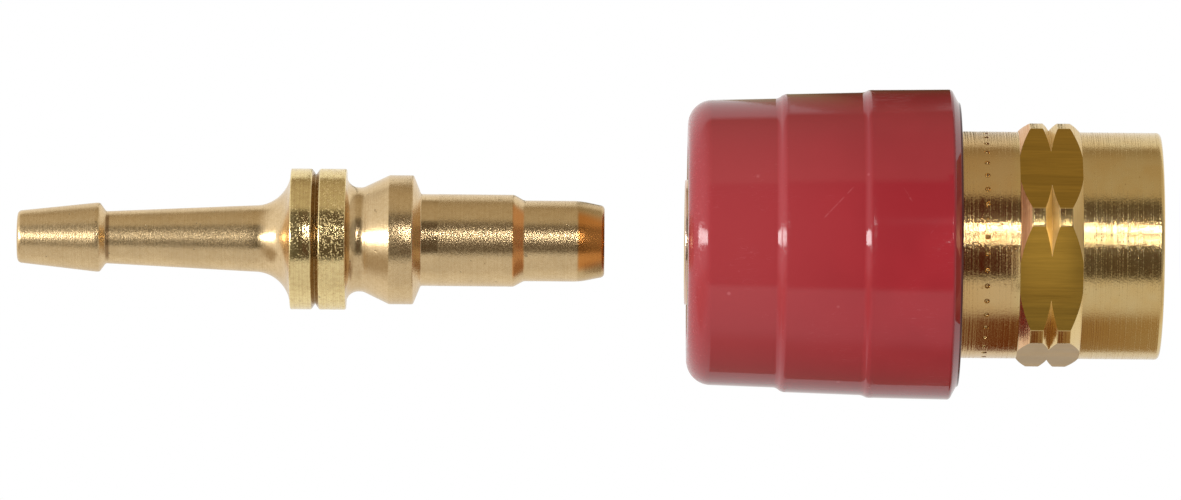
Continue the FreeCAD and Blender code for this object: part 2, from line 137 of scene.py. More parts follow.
SPOOL_OUTLINE = (
    (26.20, 0.00, 0.00, 0),
    (26.20, 5.60, 0.15, 3),
    (25.20, 5.60, 0.00, 0),
    (25.20, 6.95, 0.12, 3),
    (23.00, 6.95, 0.12, 3),
    (23.00, 6.00, 0.00, 0),
    (14.05, 6.00, 0.06, 3),
    (14.05, 5.00, 0.00, 0),
    (12.75, 5.00, 0.00, 0),
    (12.75, 6.00, 0.06, 3),
    (5.20, 6.00, 0.00, 0),
    (5.20, 6.40, 0.10, 3),
    (2.90, 6.40, 0.10, 3),
    (0.00, 6.11, 0.12, 4),
    (0.00, 5.85, 0.06, 3),
    (0.53, 4.55, 0.12, 4),
    (9.80, 4.55, 0.00, 0),
    (10.80, 4.00, 0.00, 0),
    (14.85, 4.00, 0.08, 3),
    (14.85, 5.15, 0.00, 0),
    (16.15, 5.15, 0.00, 0),
    (16.15, 4.00, 0.08, 3),
    (18.80, 4.00, 0.00, 0),
    (18.80, 3.00, 0.08, 3),
    (22.30, 3.00, 0.00, 0),
    (22.30, 0.00, 0.00, 0),
)
THREAD_OUTLINE = (
    (-0.60, 8.37, 0.00, 0),
    (-0.17, 7.51, 0.12, 3),
    (0.17, 7.51, 0.12, 3),
    (0.60, 8.37, 0.00, 0),
)

# What the metal mirrors round the axis: degrees up from the camera, and colour
ROOM = (
    (-180, (0.86, 0.86, 0.84)),
    (-112, (0.84, 0.84, 0.82)),
    (-98, (0.80, 0.79, 0.76)),
    (-84, (0.68, 0.66, 0.63)),
    (-37, (0.74, 0.73, 0.71)),
    (-33, (0.10, 0.09, 0.065)),
    (46, (0.12, 0.105, 0.075)),
    (51, (0.53, 0.47, 0.36)),
    (97, (0.47, 0.40, 0.29)),
    (117, (0.31, 0.25, 0.16)),
    (123, (0.95, 0.95, 0.92)),
    (180, (0.95, 0.95, 0.93)),
)

# Shades of the sleeve, as the barrel beside it mirrors them
RED_SHADES = (
    (0.00, (0.080, 0.010, 0.005)),
    (0.75, (0.080, 0.014, 0.007)),
    (1.00, (0.085, 0.035, 0.018)),
)

# Cards that only reflections see: name, middle and size in millimetres, turn about X in degrees,
# the fade to a last shade (axis, start, end, colour), and shades from the left to the right edge
CARDS = (
    ("low_card", (-31.6, -3, -44), (28.8, 46), 0, (1, -10, -24, (0.68, 0.66, 0.63)), (
        (0.00, (0.40, 0.33, 0.27)),
        (1.00, (0.36, 0.28, 0.21)))),
    ("brass_card", (-5.6, 3, -44), (23.2, 60), 0, (1, -12, -26, (0.68, 0.66, 0.63)), (
        (0.00, (0.165, 0.05, 0.016)),
        (0.25, (0.17, 0.055, 0.02)),
        (0.50, (0.37, 0.26, 0.14)),
        (1.00, (0.42, 0.31, 0.17)))),
    ("high_card", (-19.2, 500, 560), (38.7, 960), 90, (2, 380, 1040, (0.36, 0.30, 0.20)), (
        (0.00, (0.48, 0.47, 0.35)),
        (0.26, (0.28, 0.28, 0.14)),
        (0.40, (0.10, 0.09, 0.04)),
        (1.00, (0.075, 0.06, 0.022)))),
    ("front_card", (-5, -900, 195), (70, 1470), 90, (2, 900, 930, (0.12, 0.105, 0.075)), (
        (0.00, (0.11, 0.07, 0.045)),
        (0.25, (0.10, 0.022, 0.012)),
        (0.90, (0.09, 0.022, 0.012)),
        (1.00, (0.09, 0.05, 0.025)))),
    ("flat_card", (-10.7, -16.6, -4.9), (5.4, 9), -56, (2, -6.4, -8.4, (0.20, 0.16, 0.11)), (
        (0.00, (0.80, 0.77, 0.70)),
        (1.00, (0.80, 0.77, 0.70)))),
    ("red_low_card", (-16.2, -36, -8.5), (7.8, 18), 90, (2, -2, 1, (0.09, 0.03, 0.015)),
        RED_SHADES),
    ("red_high_card", (-16.2, -36, 26), (7.8, 22), 90, (2, 34, 38, (0.12, 0.08, 0.05)),
        RED_SHADES),
)

# Lamps: name, place from the picture's centre, width, height, watts, seen in reflections
LAMPS = (
    ("front_lamp", (0.083, -0.76, 0.230), 0.046, 0.050, 0.46, True),
    ("low_lamp", (0.099, -0.80, 0.079), 0.036, 0.058, 0.21, True),
    ("left_strip", (-0.60, -0.538, 0.056), 0.71, 0.14, 4.8, True),
    ("front_fill", (0.0, -0.95, 0.06), 0.9, 0.6, 2.2, False),
)

# Width of the camera's sensor, in millimetres
SENSOR_WIDTH = 36

# Stretches along the probe, from the end of its tail, in millimetres
BARB_FOOT = (8.66, 9.02)
STEM = (9.2, 22.5)
FLARE = (23.0, 26.7)
COLLARS = (26.7, 32.2)
TAIL_COLLAR = (26.7, 28.9)
COLLAR_GROOVE = (28.85, 29.57)
LATCH_GROOVE = (32.2, 36.4)
GROUND_SHAFT = (39.6, 41.2)
SHAFT_STEP = (48.5, 49.6)
NOSE = (54.9, 57.6)

# Places along the socket, from its mouth, and its radius, in millimetres
DOT_PLACE = 29.05
HEX_START = 32.241
HEX_WIDTH = 6.1
THREAD_START = 38.95
BODY_RADIUS = 11.1

# Stretches along the hex collar, from its start, in millimetres
NEAR_SLOPE = (0.0, 1.06)
NOTCH_SLOPES = (2.4, 3.7)
FAR_SLOPE = (5.04, 6.1)

# Punched dots: the first one's degrees up, and how far the punch's middle stays out, in radii
DOT_TURN = 4
DOT_LIFT = 0.1

# Drills, in millimetres: the play round a ball, where the ports lie from the spool's head, and
# how far a drill's middle lies from the axis
BALL_PLAY = 0.04
BALL_DRILL_MIDDLE = 7.7
BALL_DRILL_DEPTH = 6
PORT_PLACE = 20.3
PORT_RADIUS = 1.25
PORT_DRILL_MIDDLE = 4.6
PORT_DRILL_DEPTH = 4.5

# Rounded edges of the sleeve's steps, from its front, in millimetres
STEP_EDGES = ((8.9, 9.8), (17.6, 18.2))

# Scratches on the sleeve's front: from and to (x, z) and width in millimetres, and strength
SCRATCHES = (
    ((-33.0, 2.0), (-29.6, 5.6), 0.10, 0.8),
    ((-25.0, 5.6), (-24.0, 4.0), 0.12, 0.8),
    ((-22.4, 0.9), (-21.5, 2.0), 0.09, 0.5),
)

# Springs: mean radius and radius of the wire in millimetres, and turns
VALVE_COIL = (6.2, 0.42, 3.5)
SLEEVE_COIL = (9.95, 0.55, 4.0)

# Tones that the finishes and the surround mix in
# Painted reflection of the red sleeve on the barrel beside it
SLEEVE_REFLECTION_RED = (0.62, 0.33, 0.14)
# Painted shade at the socket's mouth beside the sleeve's front
MOUTH_SHADE_BROWN = (0.30, 0.17, 0.075)
# Painted reflection of the red sleeve on the spool's front lip
LIP_REFLECTION_ROSE = (0.80, 0.56, 0.50)
# Painted reflection of the red sleeve on the hex collar's near slope
SLOPE_REFLECTION_ROSE = (0.85, 0.38, 0.21)
# Painted shade: the dark line at the sleeve's rear rim
RIM_SHADE = (0.03, 0.012, 0.01)
BRONZE_LIGHT = (0.55, 0.34, 0.15)
# Painted shade in the gaps between the sintered balls
BRONZE_GAP_SHADE = (0.12, 0.07, 0.03)
FIBRE_DARK = (0.50, 0.43, 0.33)
FIBRE_LIGHT = (0.66, 0.60, 0.50)
FLOOR_DARK = (0.93, 0.93, 0.92)
FLOOR_LIGHT = (0.96, 0.96, 0.95)
SIDE_LIGHT = (0.92, 0.92, 0.92)
SIDE_SHADE = (0.44, 0.37, 0.28)
SOFT_LIGHT = (0.34, 0.33, 0.32)
WHITE = (1, 1, 1)


class CouplingProbe(bpy.types.PropertyGroup):
    steps: bpy.props.IntProperty(
        name="Steps", description="Steps round the turned probe", default=192, min=24, max=512)
    colour: bpy.props.FloatVectorProperty(
        name="Brass", description="Colour of the probe's satin brass",
        subtype="COLOR", default=(0.75, 0.555, 0.31), min=0, max=1)
    collar_colour: bpy.props.FloatVectorProperty(
        name="Collar brass", description="Yellower brass of the two collars",
        subtype="COLOR", default=(0.94, 0.75, 0.37), min=0, max=1)
    # Colour of the painted reflection of the red sleeve on the nose and shaft step
    nose_reflection_tint: bpy.props.FloatVectorProperty(
        name="Nose tint", description="Copper tone of the worn nose and steps",
        subtype="COLOR", default=(0.70, 0.25, 0.042), min=0, max=1)


class CouplingSocket(bpy.types.PropertyGroup):
    steps: bpy.props.IntProperty(
        name="Steps", description="Steps round the turned body", default=192, min=24, max=512)
    colour: bpy.props.FloatVectorProperty(
        name="Brass", description="Colour of the body's polished brass",
        subtype="COLOR", default=(0.72, 0.53, 0.245), min=0, max=1)
    flat_colour: bpy.props.FloatVectorProperty(
        name="Milled brass", description="Colour of the milled flats",
        subtype="COLOR", default=(0.39, 0.225, 0.037), min=0, max=1)
    hex_flats: bpy.props.FloatProperty(
        name="Across flats", description="Size of the hex collar across its flats",
        unit="LENGTH", default=22 * MM)
    hex_turn: bpy.props.FloatProperty(
        name="Hex turn", description="How far the collar's first corner is turned up",
        subtype="ANGLE", default=math.radians(13))
    dot_count: bpy.props.IntProperty(
        name="Dots", description="Punched dots round the body", default=43, min=0, max=90)
    dot_radius: bpy.props.FloatProperty(
        name="Dot radius", description="Radius of the punch", unit="LENGTH", default=0.28 * MM)
    thread_pitch: bpy.props.FloatProperty(
        name="Thread pitch", description="Distance between the inlet thread's ridges",
        unit="LENGTH", default=1.337 * MM)
    thread_turns: bpy.props.FloatProperty(
        name="Thread turns", description="Turns of the inlet thread", default=4.5)


class CouplingSleeve(bpy.types.PropertyGroup):
    steps: bpy.props.IntProperty(
        name="Steps", description="Steps round the sleeve", default=224, min=24, max=512)
    colour: bpy.props.FloatVectorProperty(
        name="Red", description="Colour of the moulded sleeve",
        subtype="COLOR", default=(0.36, 0.026, 0.034), min=0, max=1)
    front_rounding: bpy.props.FloatProperty(
        name="Front rounding", description="Radius of the sleeve's front edge",
        unit="LENGTH", default=2.34 * MM)
    first_step: bpy.props.FloatProperty(
        name="First step", description="Rise of the front step", unit="LENGTH", default=0.43 * MM)
    second_step: bpy.props.FloatProperty(
        name="Second step", description="Rise of the rear step", unit="LENGTH", default=0.24 * MM)


class CouplingInner(bpy.types.PropertyGroup):
    spool_steps: bpy.props.IntProperty(
        name="Spool steps", description="Steps round the valve spool", default=128, min=24, max=512)
    spring_steps: bpy.props.IntProperty(
        name="Spring steps", description="Steps in each turn of a spring",
        default=72, min=12, max=256)
    steel: bpy.props.FloatVectorProperty(
        name="Steel", description="Colour of the springs and rings",
        subtype="COLOR", default=(0.50, 0.50, 0.51), min=0, max=1)
    rubber: bpy.props.FloatVectorProperty(
        name="Rubber", description="Colour of the seals",
        subtype="COLOR", default=(0.022, 0.022, 0.024), min=0, max=1)


class CouplingStage(bpy.types.PropertyGroup):
    distance: bpy.props.FloatProperty(
        name="Camera distance", description="From the axis to the camera",
        unit="LENGTH", default=1.0)
    frame_width: bpy.props.FloatProperty(
        name="Frame width", description="Width of the picture at the axis",
        unit="LENGTH", default=115.7 * MM)
    centre: bpy.props.FloatProperty(
        name="Centre", description="Place on the axis at the picture's centre",
        unit="LENGTH", default=-55.1 * MM)
    drop: bpy.props.FloatProperty(
        name="Drop", description="How far the picture's centre lies under the axis",
        unit="LENGTH", default=0.84 * MM)
    roll: bpy.props.FloatProperty(
        name="Roll", description="Turn of the camera about its line of sight",
        subtype="ANGLE", default=math.radians(-0.5))
    floor_drop: bpy.props.FloatProperty(
        name="Floor", description="How far the floor lies under the axis",
        unit="LENGTH", default=45 * MM)
    floor_radius: bpy.props.FloatProperty(
        name="Floor radius", description="Radius of the round floor",
        unit="LENGTH", default=0.6)


class Wire:
    """A socket of a node tree, with the arithmetic that the finishes need."""

    def __init__(self, tree, socket=None):
        self.tree = tree
        self.socket = socket

    def node(self, kind, settings=None, inputs=None, output=0):
        """Add a node: its settings first, then its sockets' values or links."""
        made = self.tree.nodes.new(kind)
        for name, value in (settings or {}).items():
            if name == "stops":
                ramp = made.color_ramp.elements
                while len(ramp) < len(value):
                    ramp.new(1)
                for stop, (place, shade) in zip(ramp, value):
                    stop.position = place
                    stop.color = (*shade, 1)
            else:
                setattr(made, name, value)
        for name, value in (inputs or {}).items():
            if isinstance(value, Wire):
                self.tree.links.new(value.socket, made.inputs[name])
            else:
                made.inputs[name].default_value = value
        return Wire(self.tree, made.outputs[output]) if made.outputs else made

    def maths(self, operation, *values):
        return self.node("ShaderNodeMath", {"operation": operation}, dict(enumerate(values)))

    def __add__(self, other):
        return self.maths("ADD", self, other)

    def __radd__(self, other):
        return self.maths("ADD", other, self)

    def __sub__(self, other):
        return self.maths("SUBTRACT", self, other)

    def __rsub__(self, other):
        return self.maths("SUBTRACT", other, self)

    def __mul__(self, other):
        return self.maths("MULTIPLY", self, other)

    def __rmul__(self, other):
        return self.maths("MULTIPLY", other, self)

    def __pow__(self, other):
        return self.maths("POWER", self, other)

    def __rpow__(self, other):
        return self.maths("POWER", other, self)

    def __abs__(self):
        return self.maths("ABSOLUTE", self)

    def fade(self, low, high):
        """0 below low and 1 above high, with a soft change between; low may be above high."""
        return self.node(
            "ShaderNodeMapRange", {"interpolation_type": "SMOOTHSTEP"},
            {"Value": self, "From Min": low, "From Max": high})

    def band(self, start, end, soft):
        """1 between start and end, with soft edges."""
        return self.fade(start - soft, start + soft) * self.fade(end + soft, end - soft)

    def stretch(self, scale):
        """The vector with each axis scaled by itself."""
        return self.node("ShaderNodeVectorMath", {"operation": "MULTIPLY"}, {0: self, 1: scale})

    def axis(self, index):
        return self.node("ShaderNodeSeparateXYZ", None, {0: self}, index)

    def noise(self, scale, detail=2.0, roughness=0.5):
        return self.node(
            "ShaderNodeTexNoise", None,
            {"Vector": self, "Scale": scale, "Detail": detail, "Roughness": roughness})

    def lines(self, scale, detail=2.0):
        """Noise along one number only, which makes lines across it."""
        return self.node(
            "ShaderNodeTexNoise", {"noise_dimensions": "1D"},
            {"W": self, "Scale": scale, "Detail": detail})

    def cells(self, scale, output):
        return self.node("ShaderNodeTexVoronoi", None, {"Vector": self, "Scale": scale}, output)

    def from_axis(self):
        """How far this place lies from the X axis."""
        return (self.axis(1) ** 2 + self.axis(2) ** 2) ** 0.5

    def colour(self, first, second):
        """From the first colour to the second as this value goes from 0 to 1."""
        return self.node(
            "ShaderNodeMix", {"data_type": "RGBA"},
            {0: self, 6: as_colour(first), 7: as_colour(second)}, 2)


def as_colour(value):
    return value if isinstance(value, Wire) else (*value, 1.0)


def toned(colour, *parts):
    """A colour whose channels are multiplied by one number or by three."""
    return tuple(min(1, c * p) for c, p in zip(colour, parts * (3 // len(parts))))


def lifted(colour, *parts):
    """A colour with something added to each channel."""
    return tuple(min(1, c + p) for c, p in zip(colour, parts))


def new_finish(name):
    """A material, its shader and the place on the piece in millimetres."""
    material = bpy.data.materials.new(name)
    material.use_nodes = True
    tree = material.node_tree
    shader = tree.nodes["Principled BSDF"]
    place = Wire(tree).node("ShaderNodeTexCoord", None, None, "Object").stretch((1000, 1000, 1000))
    return material, shader, place


def feed(shader, **inputs):
    """Link or set the shader's sockets; an underscore in a name stands for a space."""
    tree = shader.id_data
    for name, value in inputs.items():
        socket = shader.inputs[name.replace("_", " ")]
        if isinstance(value, Wire):
            tree.links.new(value.socket, socket)
        else:
            socket.default_value = value


def bump(height, strength, depth):
    """A normal from a height in millimetres."""
    return height.node(
        "ShaderNodeBump", None, {"Strength": strength, "Distance": depth * MM, "Height": height})


def probe_brass(settings):
    """Satin turned brass: sparkling grain, turning lines and smears, with a painted reflection of
    the red sleeve on the camera side of the shaft step and nose.
    """
    material, shader, place = new_finish("satin_brass")
    along = place.axis(0) - PROBE_LOW.x / MM
    # Mask of the side that faces the camera, for the painted reflection below
    front = place.axis(1).fade(-2.3, -3.2)
    tail = along.fade(24.0, 22.0)
    stem = along.band(*STEM, 0.5)
    # Painted shade in the corner where the barb meets the stem, on the camera side
    painted_foot_shade = along.band(*BARB_FOOT, 0.08) * place.axis(1).fade(-0.9, -1.9)
    collars = along.band(*COLLARS, 0.05)
    groove = along.band(*COLLAR_GROOVE, 0.05)
    smooth_neck = along.band(*LATCH_GROOVE, 0.10) + along.band(*FLARE, 0.6)
    ground = along.band(*GROUND_SHAFT, 0.10)
    nose = along.fade(54.7, 55.0)
    # Painted reflection of the red sleeve on the shaft step and nose, on the camera side only
    painted_sleeve_reflection = (along.band(*SHAFT_STEP, 0.12) * 0.75 + along.band(*NOSE, 0.15) * 0.85) * front
    speckle = place.noise(5.4, 2.0, 0.6)
    sand = place.noise(9.0, 2.0, 0.6)
    mottle = place.noise(2.4, 2.0, 0.6)
    blotch = place.noise(0.35, 3.0, 0.6)
    turning = (along + 0.05 * place.noise(0.8)).lines(6.0, 3.0)
    pits = place.noise(1.7, 2.0, 0.5).fade(0.72, 0.76)
    flecks = speckle.fade(0.46, 0.58)
    worn = (speckle - 0.05 * along.band(*TAIL_COLLAR, 0.05)).fade(0.535, 0.63) * collars
    brass = settings.colour
    dull = toned(brass, 0.84, 0.78, 0.68)
    tone = blotch.fade(0.35, 0.7).colour(toned(brass, 1.10), brass)
    tone = (sand.fade(0.42, 0.72) * (0.6 - 0.4 * stem)).colour(tone, dull)
    tone = collars.colour(tone, settings.collar_colour)
    tone = (mottle.fade(0.40, 0.68) * 0.35 + turning.fade(0.40, 0.65) * 0.25).colour(tone, dull)
    # Painted shade at the barb's foot
    tone = (painted_foot_shade * 0.7).colour(tone, toned(brass, 0.28, 0.18, 0.12))
    tone = (pits * 0.6).colour(tone, toned(brass, 0.4))
    tone = (nose * 0.55).colour(tone, toned(brass, 0.68, 0.60, 0.42))
    tone = (groove * 0.75).colour(tone, toned(brass, 0.42, 0.32, 0.22))
    # Painted reflection of the red sleeve
    tone = painted_sleeve_reflection.colour(tone, settings.nose_reflection_tint)
    rough = 0.20 + 0.04 * sand + 0.03 * blotch + 0.04 * tail
    rough = rough - 0.12 * collars - 0.04 * smooth_neck - 0.08 * ground
    rough = rough + 0.06 * flecks + 0.40 * worn
    grainy = 0.012 - 0.004 * collars - 0.008 * smooth_neck - 0.009 * ground
    height = grainy * speckle + 0.006 * sand + 0.006 * turning - 0.01 * pits
    feed(shader, Base_Color=tone, Roughness=rough, Metallic=1.0, Normal=bump(height, 1.0, 1.0))
    return material


def socket_brass(settings):
    """Polished turned brass: fine lines round the axis and a light haze of handling, with painted
    reflections of the red sleeve, a painted sheen on the hex slopes and painted shade at the mouth.
    """
    material, shader, place = new_finish("polished_brass")
    along = place.axis(0)
    radius = place.from_axis()
    mouth_start = SOCKET_LOW.x / MM
    spool_start = SPOOL_LOW.x / MM
    sleeve_end = SLEEVE_HIGH.x / MM
    fine = (along + 0.03 * place.noise(0.7)).lines(6.2, 3.0)
    speckle = place.noise(5.0, 2.0, 0.6)
    haze = place.noise(0.25, 3.0, 0.6)
    pits = place.noise(2.2, 2.0, 0.5).fade(0.70, 0.76)
    mouth = along.fade(mouth_start + 0.35, mouth_start + 0.15) * radius.fade(6.41, 6.47)
    # The spool's front lip, which takes a painted reflection of the red sleeve
    lip_sleeve_reflection = along.fade(spool_start + 0.26, spool_start + 0.18) * radius.fade(5.92, 6.02)
    # Band of the barrel beside the sleeve: painted reflection of the red sleeve
    painted_red_reflection = along.band(sleeve_end, sleeve_end + 5.2, 0.6)
    row = along.band(mouth_start + DOT_PLACE, mouth_start + DOT_PLACE, 0.45)
    punched = row * radius.fade(BODY_RADIUS - 0.03, BODY_RADIUS - 0.12)
    proud = radius.fade(BODY_RADIUS - 0.02, BODY_RADIUS + 0.1)
    collar = along - (mouth_start + HEX_START)
    near_slope = collar.band(*NEAR_SLOPE, 0.05) * proud
    slopes = collar.band(*NOTCH_SLOPES, 0.05) + collar.band(*FAR_SLOPE, 0.05)
    slopes = near_slope + slopes * proud
    hazed = slopes * place.axis(2).fade(-7.0, -2.0)
    brass = settings.colour
    dark = toned(brass, 0.55, 0.45, 0.30)
    tone = haze.fade(0.35, 0.65).colour(brass, toned(brass, 0.98, 0.92, 0.82))
    tone = (pits * 0.5).colour(tone, dark)
    # Painted reflection of the red sleeve on the barrel
    tone = (painted_red_reflection * 0.3).colour(tone, SLEEVE_REFLECTION_RED)
    # Darker brown at the mouth: painted shade
    tone = mouth.colour(tone, MOUTH_SHADE_BROWN)
    # Rose on the spool's lip: painted reflection of the red sleeve
    tone = (lip_sleeve_reflection * 0.85).colour(tone, LIP_REFLECTION_ROSE)
    # Paler brass on the collar's slopes: painted sheen of the bright surroundings
    tone = (slopes * 0.8).colour(tone, toned(brass, 1.16))
    # Rose on the collar's near slope: painted reflection of the red sleeve
    tone = (near_slope * 0.5).colour(tone, SLOPE_REFLECTION_ROSE)
    tone = punched.colour(tone, dark)
    rough = 0.11 + 0.04 * haze + 0.13 * fine.fade(0.46, 0.68) + 0.08 * speckle.fade(0.5, 0.65)
    rough = rough + 0.34 * mouth + 0.02 * slopes + 0.20 * hazed
    height = 0.014 * fine + 0.011 * speckle - 0.006 * pits
    feed(shader, Base_Color=tone, Roughness=rough, Metallic=1.0, Normal=bump(height, 1.0, 1.0))
    return material


def milled_brass(settings):
    """Milled flats: darker, with straight cutter lines along the axis."""
    material, shader, place = new_finish("milled_brass")
    streaks = place.stretch((0.18, 5.0, 5.0)).noise(1.0, 4.0, 0.65)
    passes = place.stretch((0.04, 0.7, 0.7)).noise(1.0, 1.0)
    hairlines = place.stretch((0.5, 11.0, 11.0)).noise(1.0, 3.0)
    haze = place.noise(0.5, 2.0)
    brass = settings.flat_colour
    dark = toned(brass, 0.72)
    tone = streaks.fade(0.30, 0.70).colour(brass, toned(brass, 1.22))
    tone = (passes.fade(0.48, 0.62) * 0.3).colour(tone, dark)
    tone = (hairlines.fade(0.50, 0.70) * 0.28).colour(tone, dark)
    rough = 0.24 + 0.10 * streaks + 0.06 * haze
    height = 0.005 * streaks
    feed(shader, Base_Color=tone, Roughness=rough, Metallic=1.0, Normal=bump(height, 0.6, 1.0))
    return material


def scratch(place, start, end, width, strength):
    """A mask along a straight scratch on the front of the sleeve, between two (x, z) places."""
    sx, sz = start
    ex, ez = end
    length = math.hypot(ex - sx, ez - sz)
    ux, uz = (ex - sx) / length, (ez - sz) / length
    x = place.axis(0) - sx
    z = place.axis(2) - sz
    along = x * ux + z * uz
    across = abs(x * uz - z * ux)
    front = place.axis(1).fade(0, -1)
    return across.fade(width, 0) * along.band(0.3, length - 0.3, 0.3) * front * strength


def red_plastic(settings):
    """Glossy moulded red plastic with scuffs, specks and a few long scratches, painted light from
    the left towards its front and painted shade on its rear rim.
    """
    material, shader, place = new_finish("red_plastic")
    along = place.axis(0)
    sleeve_start = SLEEVE_LOW.x / MM
    sleeve_end = SLEEVE_HIGH.x / MM
    nose = along.fade(sleeve_start + 2.6, sleeve_start + 0.5)
    # Paler towards the front: painted light from the lamp strip on the left
    painted_left_light = along.fade(sleeve_end - 4, sleeve_start + 3)
    # Outer ring of the sleeve's rear end, which takes the painted shade
    painted_rim_shade = along.fade(sleeve_end - 0.25, sleeve_end - 0.15) * place.from_axis().fade(13.3, 13.6)
    steps = sum((along - sleeve_start).band(*edge, 0.2) for edge in STEP_EDGES)
    cloud = place.noise(0.12, 2.0)
    smear = place.stretch((0.5, 1.4, 1.4)).noise(0.8, 4.0, 0.6)
    chance = place.cells(0.36, "Color").axis(0)
    specks = place.cells(0.36, "Distance").fade(0.10, 0.03) * chance.fade(0.60, 0.66)
    hair = place.stretch((0.35, 3.5, 2.2)).noise(1.2, 1.0)
    hairs = abs(hair - 0.5).fade(0.006, 0.0) * cloud.fade(0.52, 0.66)
    broken = place.noise(1.6, 2.0).fade(0.36, 0.60)
    scrapes = sum(scratch(place, *row) for row in SCRATCHES) * broken
    nicks = place.noise(2.6, 3.0, 0.6).fade(0.60, 0.70) * nose
    uneven = place.noise(3.2, 2.0, 0.6).fade(0.45, 0.65)
    marks = specks * 0.55 + hairs * 0.35 + scrapes * 0.42 + nicks * 0.35
    red = settings.colour
    tone = cloud.fade(0.3, 0.7).colour(toned(red, 0.88), red)
    # Painted light from the left on the sleeve's front
    tone = painted_left_light.colour(tone, lifted(red, 0.0, 0.013, 0.011))
    tone = marks.colour(tone, lifted(toned(red, 1.35, 1.6, 1.6), 0.06, 0.10, 0.10))
    # Near black at the rear rim: painted shade
    tone = (painted_rim_shade * 0.8).colour(tone, RIM_SHADE)
    rough = 0.035 + 0.03 * smear + 0.25 * marks + (steps + nose * 1.2) * (0.06 + 0.16 * uneven)
    height = 0.01 * smear - 0.012 * marks
    feed(shader, Base_Color=tone, Roughness=rough, IOR=1.44, Normal=bump(height, 0.35, 1.0))
    return material


def drawn_steel(settings):
    """Drawn and ground steel of the springs, rings and balls."""
    material, shader, place = new_finish("drawn_steel")
    grain = place.stretch((1.5, 6, 6)).noise(1.2, 3.0)
    oil = place.noise(0.5, 2.0)
    dark = toned(settings.steel, 0.7)
    feed(
        shader, Base_Color=oil.fade(0.3, 0.7).colour(settings.steel, dark),
        Roughness=0.20 + 0.14 * grain, Metallic=1.0, Normal=bump(0.004 * grain, 0.4, 1.0))
    return material


def seal_rubber(settings):
    """Matt black rubber with a thin film of grease."""
    material, shader, place = new_finish("greased_rubber")
    grain = place.noise(9.0, 3.0)
    grease = place.noise(0.9, 2.0)
    light = toned(settings.rubber, 1.8)
    feed(
        shader, Base_Color=grain.fade(0.3, 0.8).colour(settings.rubber, light),
        Roughness=0.62 - 0.25 * grease.fade(0.45, 0.7), Normal=bump(0.01 * grain, 0.3, 1.0))
    return material


def sintered_bronze():
    """Sintered bronze balls, pressed together into the gas filter, with painted light on their
    middles and painted shade in the gaps between them.
    """
    material, shader, place = new_finish("sintered_bronze")
    balls = place.cells(2.6, "Distance")
    # Lighter middles and darker gaps: painted light and shade on the balls
    tone = balls.fade(0.15, 0.75).colour(BRONZE_LIGHT, BRONZE_GAP_SHADE)
    rough = 0.38 + 0.25 * balls
    height = 0.12 - 0.12 * balls
    feed(shader, Base_Color=tone, Roughness=rough, Metallic=1.0, Normal=bump(height, 0.8, 1.0))
    return material


def pressed_fibre():
    """Pale pressed fibre of the inlet's sealing washer."""
    material, shader, place = new_finish("pressed_fibre")
    threads = place.stretch((6, 1.5, 4)).noise(1.5, 4.0, 0.65)
    tone = threads.fade(0.3, 0.7).colour(FIBRE_DARK, FIBRE_LIGHT)
    feed(shader, Base_Color=tone, Roughness=0.75, Normal=bump(0.02 * threads, 0.4, 1.0))
    return material


def edit_mesh(piece):
    return bmesh.from_edit_mesh(piece.data)


def start_outline(name, place, radius):
    """One vertex beside the X axis, in edit mode, that an outline grows from."""
    bpy.ops.object.select_all(action="DESELECT")
    bpy.ops.mesh.primitive_plane_add(size=MM, location=(0, 0, 0))
    piece = bpy.context.object
    piece.name = name
    piece.data.name = name
    bpy.ops.object.mode_set(mode="EDIT")
    bpy.ops.mesh.select_all(action="SELECT")
    bpy.ops.mesh.merge(type="CENTER")
    bpy.ops.transform.translate(value=(place, 0, radius))
    return piece


def select_vertices(piece, places):
    """Select the vertex nearest to each place and nothing else."""
    bpy.ops.mesh.select_all(action="DESELECT")
    mesh = edit_mesh(piece)
    for place in places:
        nearest = min(mesh.verts, key=lambda v: (v.co - place).length_squared)
        nearest.select = True
    mesh.select_flush_mode()
    bmesh.update_edit_mesh(piece.data)


def draw_outline(name, rows, front, closed):
    """Draw an outline by extruding a vertex from corner to corner, then round its corners."""
    corners = [Vector((front + x * MM, 0, r * MM)) for x, r, _, _ in rows]
    piece = start_outline(name, corners[0].x, corners[0].z)
    for before, after in zip(corners, corners[1:]):
        bpy.ops.mesh.extrude_vertices_move(TRANSFORM_OT_translate={"value": after - before})
    if closed:
        select_vertices(piece, (corners[0], corners[-1]))
        bpy.ops.mesh.edge_face_add()
    for corner, (_, _, rounding, steps) in zip(corners, rows):
        if rounding:
            select_vertices(piece, (corner,))
            bpy.ops.mesh.bevel(
                offset_type="OFFSET", offset=rounding * MM, segments=steps, affect="VERTICES",
                clamp_overlap=False)
    return piece


def close_up(piece):
    """Merge doubles, turn the faces outwards and leave edit mode."""
    bpy.ops.mesh.select_all(action="SELECT")
    bpy.ops.mesh.remove_doubles(threshold=0.0005 * MM)
    bpy.ops.mesh.normals_make_consistent(inside=False)
    bpy.ops.object.mode_set(mode="OBJECT")
    return piece


def turn_piece(name, rows, front, steps, closed=True):
    """Turn an outline about the X axis, as on a lathe."""
    piece = draw_outline(name, rows, front, closed)
    bpy.ops.mesh.select_all(action="SELECT")
    bpy.ops.mesh.spin(
        steps=steps, angle=2 * math.pi, use_auto_merge=True, center=(0, 0, 0), axis=(1, 0, 0))
    return close_up(piece)


